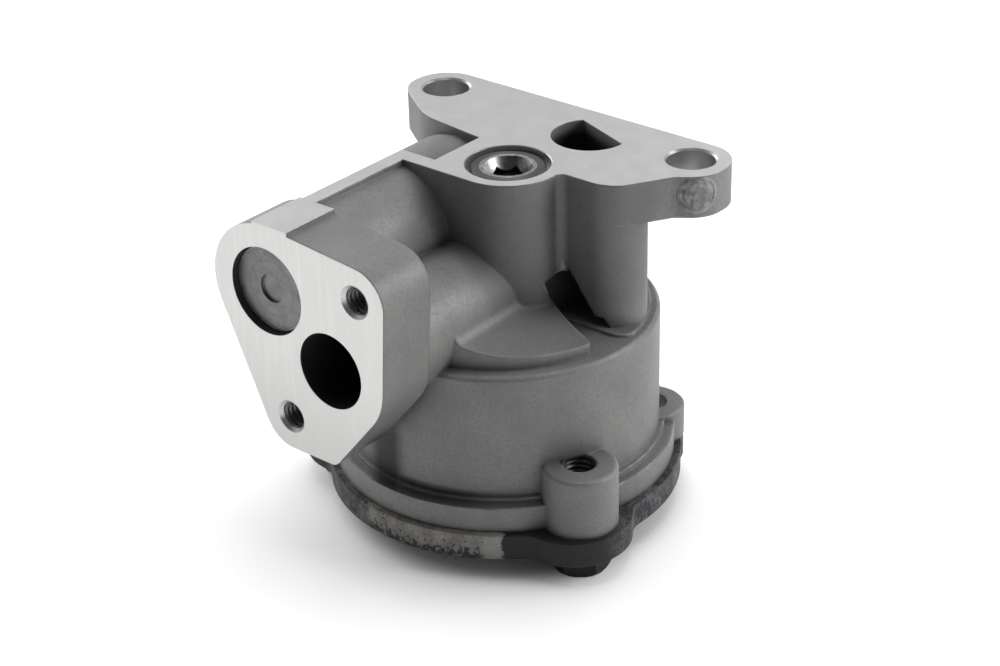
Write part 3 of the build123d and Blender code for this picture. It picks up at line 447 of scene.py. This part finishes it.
WORN_LEFT = -28.0 * MM
WORN_LEFT_FADE = 1.2 * MM
WORN_RIGHT = -2.4 * MM
WORN_RIGHT_FADE = 0.5 * MM
BRIGHT_LEFT = -7.6 * MM
BRIGHT_FADE = 2 * MM
BRIGHT_KEPT = 0.2
BRIGHT_TINT_FADE = 3 * MM
SCUFFED_RIGHT = 15.0 * MM
SCUFFED_FADE = 6 * MM
FRONT_FADE = 2 * MM
COVER_TOP_Z = -58.8 * MM
COVER_FOOT_Z = -64.1 * MM
COVER_LOW_START = 1.6 * MM
COVER_LOW_SHARE = 0.16
IRON_GRAIN = (0.7 * MM, 4, 0.7)
IRON_SPECK = (0.9 * MM, 5, 0.75)
FINE_CRUMB = (0.7 * MM, 4, 0.75)
FINE_CRUMB_SHARE = 0.6
COARSE_CRUMB = (3.5 * MM, 3, 0.6)
COARSE_CRUMB_SHARE = 0.4
CRUMB_SPAN = (0.42, 0.62)
RAGGED = (2.5 * MM, 4, 0.7)
RAGGED_WIDTH = 3 * MM
KEPT_SPAN = (0.56, 0.62)
PATCH = (9 * MM, 3, 0.55)
PATCH_SPAN = (0.5, 0.6)
BARE_CLOUD = (1.8 * MM, 4, 0.7)
IRON_DARK = linear(18, 18, 21)
IRON_PALE = linear(36, 36, 41)
BARE_DARK = linear(112, 110, 106)
BARE_PALE = linear(142, 140, 136)
BRIGHT_TINT = (0.45, linear(160, 159, 158))
SCUFF_TINT = (0.7, linear(112, 112, 116))
BARE_HEIGHT = 0.5
IRON_EDGE = 0.4 * MM
IRON_RELIEF = (0.6, 0.1 * MM)
IRON_ROUGHNESS = (0.5, 0.7)
IRON_METALLIC = 0.15
BARE_METALLIC = 0.4


def cast_iron():
    """Dark cover whose coating is rubbed through along its front left edge."""
    f = Finish("dark_cast_iron")
    grain = f.noise(*IRON_GRAIN)
    speck = f.noise(*IRON_SPECK)
    fine = f.times(f.noise(*FINE_CRUMB), FINE_CRUMB_SHARE)
    crumb = f.add(fine, f.times(f.noise(*COARSE_CRUMB), COARSE_CRUMB_SHARE))
    across = f.sweep(ACROSS_WAY)
    ragged = f.add(across, f.times(f.noise(*RAGGED), RAGGED_WIDTH), -RAGGED_WIDTH / 2)
    front = f.ramp(f.sweep(TOWARD_WAY), -FRONT_FADE, FRONT_FADE)
    low = f.ramp(f.z, COVER_TOP_Z - COVER_LOW_START, COVER_FOOT_Z)
    worn = f.times(
        front,
        f.ramp(ragged, WORN_LEFT, WORN_LEFT + WORN_LEFT_FADE),
        f.fall(ragged, WORN_RIGHT - WORN_RIGHT_FADE, WORN_RIGHT),
    )
    kept = f.ramp(f.add(speck, f.times(low, COVER_LOW_SHARE)), *KEPT_SPAN)
    kept = f.times(kept, f.ramp(ragged, BRIGHT_LEFT, BRIGHT_LEFT + BRIGHT_FADE, 1.0, BRIGHT_KEPT))
    bare = f.times(worn, f.inverse(kept))
    left = f.times(front, f.fall(ragged, WORN_LEFT, WORN_LEFT + WORN_LEFT_FADE))
    right = f.ramp(ragged, SCUFFED_RIGHT, SCUFFED_RIGHT + SCUFFED_FADE)
    patch = f.times(f.inverse(front), f.ramp(f.noise(*PATCH), *PATCH_SPAN))
    scuffed = f.times(f.either(left, right, patch), f.ramp(crumb, *CRUMB_SPAN))
    bright = f.ramp(ragged, BRIGHT_LEFT - MM, BRIGHT_LEFT + BRIGHT_TINT_FADE)
    dark = f.mix(grain, IRON_DARK, IRON_PALE)
    metal = f.mix(f.ramp(f.noise(*BARE_CLOUD), *EVEN_SPAN), BARE_DARK, BARE_PALE)
    metal = f.tint(metal, bright, BRIGHT_TINT)
    colour = f.tint(dark, scuffed, SCUFF_TINT)
    colour = f.mix(bare, colour, metal)
    f.rounded(IRON_EDGE, f.add(grain, f.times(f.either(bare, scuffed), BARE_HEIGHT)), *IRON_RELIEF)
    roughness = f.ramp(grain, *WIDE_SPAN, *IRON_ROUGHNESS)
    f.show(colour, roughness, f.blend(bare, IRON_METALLIC, BARE_METALLIC))
    return f.material


SHAFT_FACE_Z = (-1.2 * MM, -0.9 * MM)
CONE_HIGHLIGHT_REACH = 5.3 * MM
HEXAGON_REACH = 3.75 * MM
HEXAGON_SOFT = 0.1 * MM
HEXAGON_TOP_Z = -3.4 * MM
HEXAGON_FADE = 0.8 * MM
SHAFT_RINGS = 0.35 * MM
SMEAR = (1.4 * MM, 3, 0.6)
SHAFT_DARK = linear(132, 132, 131)
SHAFT_PALE = linear(176, 176, 175)
SHAFT_FACE_TONE = linear(98, 98, 99)
HEXAGON_SHADE_TONE = linear(16, 16, 18)
SHAFT_RING_HEIGHT = 0.4
SHAFT_EDGE = 0.1 * MM
SHAFT_RELIEF = (0.2, 0.02 * MM)
SHAFT_ANISOTROPIC = 0.7
SHAFT_ROUGHNESS = 0.3
SHAFT_FACE_ROUGHNESS = 0.42


def shaft_steel():
    """Shaft with a dull turned end, a bright cone whose tone is painted on past its mouth as a
    highlight, and a hexagon socket painted near black as shade.
    """
    f = Finish("drive_shaft_steel")
    radius = f.from_upright_axis(0, 0)
    lathe = f.rings(radius, SHAFT_RINGS)
    # Painted highlight: the end face keeps the cone's bright tone out past the cone's mouth, so the
    # cone looks wider.
    inside = f.within(radius, CONE_HIGHLIGHT_REACH, HEXAGON_SOFT)
    socket = f.within(radius, HEXAGON_REACH, HEXAGON_SOFT)
    socket = f.times(socket, f.ramp(f.z, HEXAGON_TOP_Z, HEXAGON_TOP_Z - HEXAGON_FADE))
    face = f.ramp(f.z, *SHAFT_FACE_Z)
    face = f.times(face, f.inverse(inside))
    smear = f.noise(*SMEAR)
    tone = f.mix(f.ramp(smear, *EVEN_SPAN), SHAFT_DARK, SHAFT_PALE)
    tone = f.mix(face, tone, SHAFT_FACE_TONE)
    # Painted shade: the hexagon socket below its mouth is painted near black.
    tone = f.mix(socket, tone, HEXAGON_SHADE_TONE)
    f.rounded(SHAFT_EDGE, f.add(f.times(lathe, SHAFT_RING_HEIGHT), smear), *SHAFT_RELIEF)
    f.shader.inputs["Anisotropic"].default_value = SHAFT_ANISOTROPIC
    f.put(f.shader.inputs["Tangent"], f.node("ShaderNodeTangent", axis="Z").outputs[0])
    f.show(tone, f.blend(face, SHAFT_ROUGHNESS, SHAFT_FACE_ROUGHNESS), f.inverse(socket))
    return f.material


PLUG_RIM = (7.7 * MM, 7.95 * MM)
PLUG_RING = (4.9 * MM, 5.2 * MM, 5.5 * MM)
PLUG_RINGS = 0.5 * MM
PLUG_CLOUD = (3 * MM, 4, 0.65)
PLUG_DARK = linear(112, 112, 114)
PLUG_PALE = linear(138, 138, 140)
PLUG_RIM_HIGHLIGHT_TINT = (0.8, linear(196, 196, 197))
PLUG_RING_TINT = (0.3, linear(92, 92, 94))
PLUG_RING_HEIGHT = 0.35
PLUG_EDGE = 0.15 * MM
PLUG_RELIEF = (0.35, 0.04 * MM)
PLUG_ROUGHNESS = (0.36, 0.5)
PLUG_METALLIC = 0.9


def plug_steel():
    """Turned plug with rings round its dimple and a painted highlight round its rim."""
    f = Finish("relief_plug_steel")
    radius = f.from_level_axis(*RELIEF)
    cloud = f.noise(*PLUG_CLOUD)
    rim = f.ramp(radius, *PLUG_RIM)
    ring = f.times(f.ramp(radius, *PLUG_RING[:2]), f.fall(radius, *PLUG_RING[1:]))
    tone = f.mix(f.ramp(cloud, *BROAD_SPAN), PLUG_DARK, PLUG_PALE)
    # Painted highlight: a light ring round the plug's rim.
    tone = f.tint(tone, rim, PLUG_RIM_HIGHLIGHT_TINT)
    tone = f.tint(tone, ring, PLUG_RING_TINT)
    height = f.add(f.times(f.rings(radius, PLUG_RINGS), PLUG_RING_HEIGHT), cloud)
    f.rounded(PLUG_EDGE, height, *PLUG_RELIEF)
    f.show(tone, f.ramp(cloud, *WIDE_SPAN, *PLUG_ROUGHNESS), PLUG_METALLIC)
    return f.material


STEEL_GRAIN = (0.5 * MM, 3, 0.6)
STEEL_CLOUD = (6 * MM, 2, 0.5)
STEEL_SHADE = 0.86
STEEL_EDGE = 0.12 * MM
STEEL_RELIEF = (0.25, 0.03 * MM)
STEEL_SMOOTHER = 0.05
STEEL_ROUGHER = 0.08


def turned_steel(name, tone, roughness, metallic=0.95):
    """Plain turned or ground steel of one tone."""
    f = Finish(name)
    grain = f.noise(*STEEL_GRAIN)
    cloud = f.noise(*STEEL_CLOUD)
    low = linear(*(value * STEEL_SHADE for value in tone))
    colour = f.mix(f.ramp(cloud, *BROAD_SPAN), low, linear(*tone))
    f.rounded(STEEL_EDGE, grain, *STEEL_RELIEF)
    rough = f.ramp(grain, *WIDE_SPAN, roughness - STEEL_SMOOTHER, roughness + STEEL_ROUGHER)
    f.show(colour, rough, metallic)
    return f.material


FINISHES = {
    "pump_body": cast_aluminium(),
    "cover": cast_iron(),
    "drive_shaft": shaft_steel(),
    "rotor_pin": turned_steel("pin_steel", (188, 188, 188), 0.25),
    "inner_rotor": turned_steel("rotor_steel", (150, 150, 152), 0.4),
    "outer_rotor": turned_steel("ring_steel", (146, 146, 148), 0.4),
    "relief_plug": plug_steel(),
    "relief_plunger": turned_steel("plunger_steel", (176, 176, 176), 0.28),
    "relief_spring": turned_steel("spring_steel", (120, 120, 124), 0.35),
}
BOLT_FINISH = turned_steel("black_oxide", (46, 46, 52), 0.45, 0.6)
for number in range(1, 5):
    FINISHES[f"cover_bolt_{number}"] = BOLT_FINISH

for name, material in FINISHES.items():
    mesh = NODES[name].data
    mesh.materials.clear()
    mesh.materials.append(material)


# ---------------------------------------------------------------- threads and relief spring
PITCH = 1.0 * MM
THREAD_SINK = 0.03 * MM
THREAD_HEIGHT = 0.42 * MM
THREAD_STEPS = 40
THREAD_FOOT = 0.44 * PITCH
THREAD_CREST = 0.06 * PITCH
THREAD_LEAST = 0.02
FRONT_BOSSES = ((26.11 * MM, -13.37 * MM), (-30.71 * MM, -13.37 * MM))
TAPPED_WALL = 2.5 * MM
TAPPED_START = 0.7 * MM
TAPPED_DEPTH = 10.6 * MM
BOSS_WALL = 3.05 * MM
BOSS_TOP_Z = -47.0 * MM
BOSS_DEPTH = 4.9 * MM


def thread(name, mouth, inward, wall, start, length, material):
    """Helical ridge on the wall of a tapped hole, run out at both ends."""
    inward = Vector(inward)
    side = inward.orthogonal().normalized()
    up = inward.cross(side)
    steps = round(length / PITCH * THREAD_STEPS)
    made = bmesh.new()
    rows = []
    for step in range(steps + 1):
        angle = 2 * math.pi * step / THREAD_STEPS
        fade = min(1.0, 2 * step / THREAD_STEPS, 2 * (steps - step) / THREAD_STEPS)
        out = side * math.cos(angle) + up * math.sin(angle)
        middle = Vector(mouth) + inward * (start + PITCH * step / THREAD_STEPS)
        foot = middle + out * (wall + THREAD_SINK)
        crest = middle + out * (wall - THREAD_HEIGHT * max(fade, THREAD_LEAST))
        half = inward * THREAD_FOOT
        flat = inward * THREAD_CREST
        rows.append([made.verts.new(p) for p in (foot - half, crest - flat, crest + flat, foot + half)])
    for low, high in zip(rows, rows[1:]):
        for corner in range(4):
            following = (corner + 1) % 4
            made.faces.new((low[corner], low[following], high[following], high[corner]))
    made.faces.new(reversed(rows[0]))
    made.faces.new(rows[-1])
    bmesh.ops.recalc_face_normals(made, faces=made.faces)
    add_piece(name, made, material, "housing")


def add_piece(name, made, material, body):
    """A mesh as a named piece that rides on a body."""
    mesh = bpy.data.meshes.new(name)
    made.to_mesh(mesh)
    made.free()
    mesh.materials.append(material)
    piece = bpy.data.objects.new(name, mesh)
    bpy.context.scene.collection.objects.link(piece)
    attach(piece, body)


def relief_coil():
    """The relief spring once more, as a piece of its own, with the original part hidden."""
    spring = NODES["relief_spring"]
    coil = bpy.data.objects.new("relief_coil", spring.data.copy())
    bpy.context.scene.collection.objects.link(coil)
    coil.matrix_world = spring.matrix_world.copy()
    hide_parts("relief_spring")
    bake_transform(coil)


relief_coil()

THREAD_FINISH = turned_steel("tapped_aluminium", (112, 112, 112), 0.35, 0.9)
for number, (x, z) in enumerate(TAPPED, 1):
    thread(f"pickup_thread_{number}", (x, PICKUP_Y, z), (0, 1, 0), TAPPED_WALL, TAPPED_START,
           TAPPED_DEPTH - TAPPED_START, THREAD_FINISH)
for number, (x, y) in enumerate(FRONT_BOSSES, 1):
    thread(f"boss_thread_{number}", (x, y, BOSS_TOP_Z), (0, 0, -1), BOSS_WALL, 0.0,
           BOSS_DEPTH, THREAD_FINISH)


# ---------------------------------------------------------------- mark of the casting
class Casting:
    """The body's surface, found along a line or along a ray of the view."""

    def __init__(self):
        mesh = NODES["pump_body"].data
        corners = [vertex.co for vertex in mesh.vertices]
        self.tree = BVHTree.FromPolygons(corners, [tuple(face.vertices) for face in mesh.polygons])

    def along(self, start, way):
        """Point and outward normal where a line first meets the surface."""
        point, normal, _, _ = self.tree.ray_cast(start, way)
        return (point, normal) if point else (None, None)

    def seen(self, column, row):
        """Point and normal under a pixel of the view."""
        across = (column - VIEW_WIDTH_PX / 2) / FOCAL_PX
        down = (row - VIEW_HEIGHT_PX / 2) / FOCAL_PX
        return self.along(VIEW_PLACE, across * VIEW_RIGHT - down * VIEW_UP - VIEW_BACK)


CASTING = Casting()
SCAR_PX = (697, 195)
SCAR_RADIUS = 3.75 * MM
SCAR_HEIGHT = 0.55 * MM
SCAR_SINK = 0.03 * MM
SCAR_PROBE = 4 * MM
SCAR_RINGS = 22
SCAR_SPOKES = 72
SCAR_RIM = 0.16
SCAR_LEVEL = 0.78
SCAR_LEAST = 0.02
# A groove is its share of the radius, its width, its direction, its spread and its depth.
SCAR_GROOVES = (
    (0.74, 0.10, math.radians(200), 0.35, 0.95),
    (0.80, 0.07, math.radians(8), 0.22, 0.95),
)
# The tear is its middle, its width, and its depth; x and y are shares of the radius.
TEAR_X, TEAR_X_WIDTH = -0.30, 0.07
TEAR_Y, TEAR_Y_WIDTH = -0.45, 0.35
TEAR_DEPTH = 0.6
# Roughness is its height and the size of its grains.
SCAR_ROUGHNESS = ((0.22, 1.3 * MM), (0.12, 0.5 * MM))
EAR_TOP_LIMIT = -0.15 * MM
EAR_LOW_LIMIT = -7.85 * MM


def hill(value, middle, width):
    """A smooth hill of height 1 about a middle."""
    return math.exp(-((value - middle) / width) ** 2)


def scar_height(share, angle, place):
    """Height of the broken gate: a rough face with a torn groove on either side."""
    rim = min(1.0, (1.0 - share) / SCAR_RIM)
    level = SCAR_LEVEL
    for height, grain in SCAR_ROUGHNESS:
        level += height * wobble(place / grain)
    for middle, width, way, spread, depth in SCAR_GROOVES:
        level -= depth * hill(share, middle, width) * hill(math.cos(angle - way), 1.0, spread)
    tear = hill(share * math.cos(angle), TEAR_X, TEAR_X_WIDTH)
    level -= TEAR_DEPTH * tear * hill(share * math.sin(angle), TEAR_Y, TEAR_Y_WIDTH)
    return SCAR_HEIGHT * max(SCAR_LEAST, level) * rim - SCAR_SINK


def gate_scar(material):
    """Rough round stub on the front of the right ear, where the gate was broken off."""
    middle, out = CASTING.seen(*SCAR_PX)
    side = Vector((0, 0, 1)).cross(out).normalized()
    up = out.cross(side)
    made = bmesh.new()
    rows = []
    for ring in range(1, SCAR_RINGS + 1):
        share = ring / SCAR_RINGS
        row = []
        for spoke in range(SCAR_SPOKES):
            angle = 2 * math.pi * spoke / SCAR_SPOKES
            row.append(scar_point(made, middle, out, side, up, share, angle))
        rows.append(row)
    centre = scar_point(made, middle, out, side, up, 0.0, 0.0)
    for spoke in range(SCAR_SPOKES):
        following = (spoke + 1) % SCAR_SPOKES
        made.faces.new((centre, rows[0][spoke], rows[0][following]))
        for low, high in zip(rows, rows[1:]):
            made.faces.new((low[spoke], high[spoke], high[following], low[following]))
    for face in made.faces:
        face.smooth = True
    add_piece("gate_scar", made, material, "housing")


def scar_point(made, middle, out, side, up, share, angle):
    """A corner of the scar, lifted from the ear's side at a share of the radius."""
    flat = middle + (side * math.cos(angle) + up * math.sin(angle)) * (SCAR_RADIUS * share)
    flat.z = min(max(flat.z, EAR_LOW_LIMIT), EAR_TOP_LIMIT)
    foot, _ = CASTING.along(flat + out * SCAR_PROBE, -out)
    foot = foot or flat
    return made.verts.new(foot + out * scar_height(share, angle, flat))


TORN_GRAIN = (0.5 * MM, 4, 0.7)
TORN_CLOUD = (2.2 * MM, 3, 0.6)
TORN_DARK = linear(112, 112, 113)
TORN_PALE = linear(150, 150, 149)
TORN_NOOK = 1.2 * MM
TORN_NOOK_SPAN = (0.15, 0.5)
TORN_NOOK_SHADE_TINT = (0.9, linear(34, 34, 36))
TORN_EDGE = 0.1 * MM
TORN_RELIEF = (0.6, 0.12 * MM)
TORN_ROUGHNESS = (0.45, 0.65)
TORN_METALLIC = 0.3


def broken_aluminium():
    """Torn grey metal of a broken gate, with painted shade in its hollows."""
    f = Finish("broken_aluminium")
    grain = f.noise(*TORN_GRAIN)
    cloud = f.noise(*TORN_CLOUD)
    tone = f.mix(f.ramp(cloud, *EVEN_SPAN), TORN_DARK, TORN_PALE)
    # Painted shade: the torn face is darkened in its hollows, found by ambient occlusion.
    tone = f.tint(tone, f.ramp(f.nook(TORN_NOOK), *TORN_NOOK_SPAN), TORN_NOOK_SHADE_TINT)
    f.rounded(TORN_EDGE, grain, *TORN_RELIEF)
    f.show(tone, f.ramp(grain, *WIDE_SPAN, *TORN_ROUGHNESS), TORN_METALLIC)
    return f.material


gate_scar(broken_aluminium())

# ---------------------------------------------------------------- floor and light
FLOOR_Z = CAD_BOX[0].z
FLOOR_DROP = 0.02 * MM
FLOOR_SIZE = 4
FLOOR_TONE = (0.86, 0.86, 0.855, 1)
FLOOR_GLOW = 0.16
GLOW_START = 29.0 * MM
GLOW_FULL = 36.0 * MM
DARK_SIDE = (0.567, -0.676, 0.469)
DARK_SIDE_FADE = (-0.2, 0.7, 1.0, 0.08)
WORLD_DIFFUSE = 1.85
WORLD_GLOSSY = 0.65
# A lamp is its name, its place and its size in metres, and its power in watts.
LAMPS = (
    ("left", (-0.6, 0.15, 0.2), (0.4, 0.3), 1.2),
    ("right_back", (0.5, 0.35, 0.3), (0.4, 0.3), 2.3),
    ("back", (-0.1, 0.6, 0.35), (0.5, 0.3), 0.15),
    ("top", (0.0, 0.05, 0.7), (0.4, 0.4), 1.3),
)
LAMP_TARGET = Vector((0, 0, -0.03))
SENSOR_WIDTH = 36.0
CAMERA_NEAR, CAMERA_FAR = 0.01, 20


def smooth_range(tree, value, numbers):
    """A smooth ramp over a value: the numbers are its two levels and what it gives at them."""
    ramp = tree.nodes.new("ShaderNodeMapRange")
    ramp.interpolation_type = "SMOOTHSTEP"
    for socket, number in zip(ramp.inputs[1:], numbers):
        socket.default_value = number
    tree.links.new(value, ramp.inputs["Value"])
    return ramp.outputs[0]


def joined(tree, operation, first, second):
    """Two values joined by a sum of the node tree."""
    made = tree.nodes.new("ShaderNodeMath")
    made.operation = operation
    tree.links.new(first, made.inputs[0])
    tree.links.new(second, made.inputs[1])
    return made.outputs[0]


def stage():
    """A pale floor that glows for the camera, except near the object, where leaving out the glow paints
    a darker shadow round it.
    """
    bpy.ops.mesh.primitive_plane_add(size=FLOOR_SIZE, location=(0, 0, FLOOR_Z - FLOOR_DROP))
    floor = bpy.context.object
    floor.name = "floor"
    material = bpy.data.materials.new("pale_floor")
    material.use_nodes = True
    tree = material.node_tree
    tree.nodes.clear()
    out = tree.nodes.new("ShaderNodeOutputMaterial")
    base = tree.nodes.new("ShaderNodeBsdfDiffuse")
    base.inputs["Color"].default_value = FLOOR_TONE
    glow = tree.nodes.new("ShaderNodeEmission")
    seen = tree.nodes.new("ShaderNodeLightPath")
    away = tree.nodes.new("ShaderNodeVectorMath")
    away.operation = "LENGTH"
    place = tree.nodes.new("ShaderNodeTexCoord")
    tree.links.new(place.outputs["Object"], away.inputs[0])
    # Painted shadow: no glow within GLOW_START of the object's centre, rising to full glow at
    # GLOW_FULL.
    rise = smooth_range(tree, away.outputs["Value"], (GLOW_START, GLOW_FULL, 0.0, FLOOR_GLOW))
    shown = joined(tree, "MULTIPLY", seen.outputs["Is Camera Ray"], rise)
    tree.links.new(shown, glow.inputs["Strength"])
    both = tree.nodes.new("ShaderNodeAddShader")
    tree.links.new(base.outputs[0], both.inputs[0])
    tree.links.new(glow.outputs[0], both.inputs[1])
    tree.links.new(both.outputs[0], out.inputs["Surface"])
    floor.data.materials.append(material)


def softbox(name, place, size, power):
    """A rectangular lamp that looks at the object."""
    data = bpy.data.lights.new(name, "AREA")
    data.shape = "RECTANGLE"
    data.size, data.size_y = size
    data.energy = power
    lamp = bpy.data.objects.new(name, data)
    bpy.context.scene.collection.objects.link(lamp)
    lamp.location = place
    lamp.rotation_mode = "QUATERNION"
    lamp.rotation_quaternion = (LAMP_TARGET - Vector(place)).to_track_quat("-Z", "Y")


def light():
    """A white studio whose front, where the camera stands, is dark."""
    world = bpy.data.worlds.new("studio")
    bpy.context.scene.world = world
    world.use_nodes = True
    tree = world.node_tree
    back = tree.nodes["Background"]
    seen = tree.nodes.new("ShaderNodeLightPath")
    way = tree.nodes.new("ShaderNodeTexCoord")
    toward = tree.nodes.new("ShaderNodeVectorMath")
    toward.operation = "DOT_PRODUCT"
    toward.inputs[1].default_value = DARK_SIDE
    tree.links.new(way.outputs["Generated"], toward.inputs[0])
    fade = smooth_range(tree, toward.outputs["Value"], DARK_SIDE_FADE)
    soft = tree.nodes.new("ShaderNodeMix")
    tree.links.new(seen.outputs["Is Glossy Ray"], soft.inputs[0])
    soft.inputs[2].default_value = WORLD_DIFFUSE
    soft.inputs[3].default_value = WORLD_GLOSSY
    shaded = joined(tree, "MULTIPLY", fade, soft.outputs[0])
    level = joined(tree, "MAXIMUM", seen.outputs["Is Camera Ray"], shaded)
    back.inputs["Color"].default_value = (1, 1, 1, 1)
    tree.links.new(level, back.inputs["Strength"])
    for name, place, size, power in LAMPS:
        softbox(name, place, size, power)


def camera():
    """The camera that the object was measured with."""
    data = bpy.data.cameras.new("camera")
    data.sensor_width = SENSOR_WIDTH
    data.lens = FOCAL_PX / VIEW_WIDTH_PX * data.sensor_width
    data.clip_start, data.clip_end = CAMERA_NEAR, CAMERA_FAR
    made = bpy.data.objects.new("camera", data)
    bpy.context.scene.collection.objects.link(made)
    turn = Matrix((VIEW_RIGHT, VIEW_UP, VIEW_BACK)).transposed().to_4x4()
    made.matrix_world = Matrix.Translation(VIEW_PLACE) @ turn
    bpy.context.scene.camera = made


stage()
light()
camera()
bpy.context.scene.view_settings.view_transform = "Standard"
